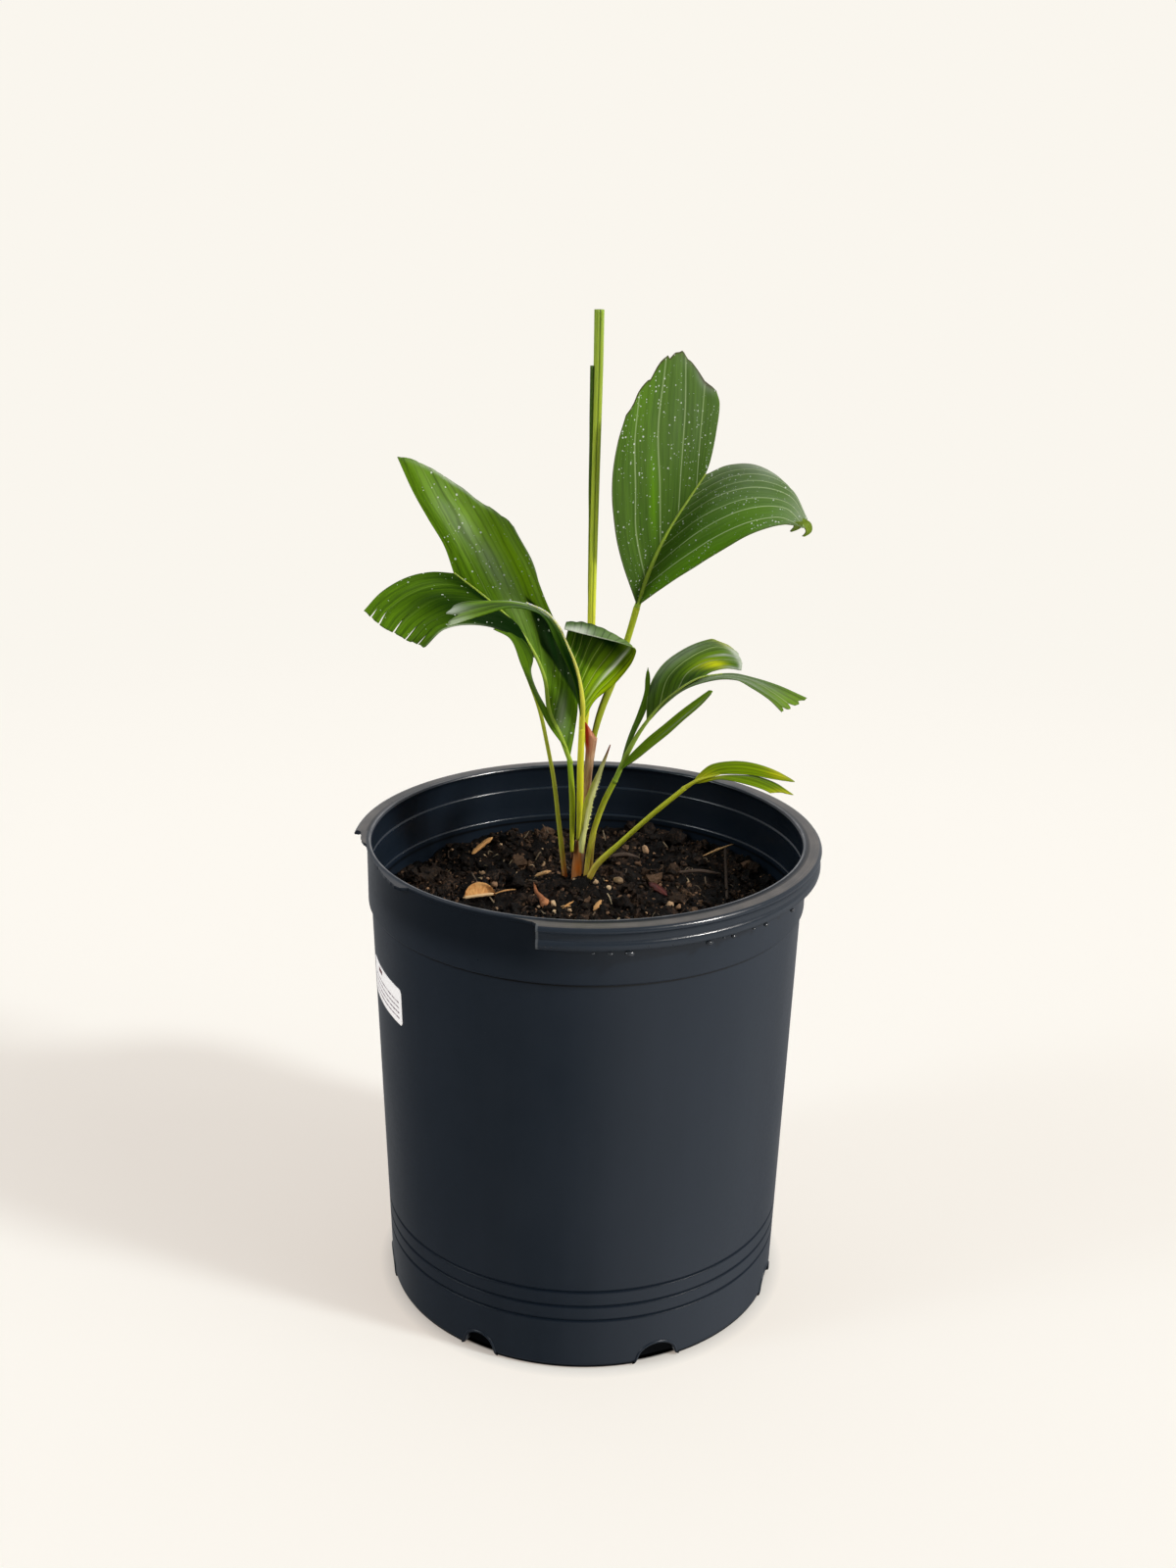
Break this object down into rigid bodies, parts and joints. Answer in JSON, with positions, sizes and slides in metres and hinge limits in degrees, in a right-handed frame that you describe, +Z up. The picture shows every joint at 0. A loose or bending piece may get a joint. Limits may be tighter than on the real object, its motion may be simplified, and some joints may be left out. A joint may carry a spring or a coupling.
{
  "type": "young clumping palm in a nursery pot",
  "caption": "Young clumping palm with split-tipped pleated leaves and one unopened spear leaf, growing in a round dark plastic nursery pot with a partly broken rim.",
  "frame": {"origin": "middle of the pot's flat underside", "axes": "+Z up along the pot's axis and the stems, the plant's front (the side with the broken rim) faces -Y, +X to the right"},
  "size_m": [0.2702, 0.2702, 0.5721],
  "materials": {
    "pot_plastic": "moulded, satin, blue-black",
    "soil": "loose bark and peat mix, matt, lumpy",
    "leaf_green": "pleated living leaf, waxy sheen",
    "stalk_green": "smooth living leaf stalk, waxy",
    "spear_green": "folded unopened leaf, grooved",
    "dry_sheath": "dry fibrous leaf sheath, matt"
  },
  "bodies": {
    "root": {"pot": "pot_plastic", "soil": "soil", "stem_sheath": "dry_sheath", "foot_sheath": "dry_sheath", "withered_sheath": "dry_sheath", "spear_leaf": "spear_green", "stalk_left": "stalk_green", "stalk_front": "stalk_green", "stalk_upper_right": "stalk_green", "stalk_right": "stalk_green", "stalk_right_twin": "stalk_green", "stalk_low_right": "stalk_green", "stalk_back": "stalk_green", "leaf_upper_right": "leaf_green", "leaf_left": "leaf_green", "leaf_front": "leaf_green", "leaf_right": "leaf_green", "leaf_low_right": "leaf_green", "leaf_back": "leaf_green"}
  },
  "joints": []
}
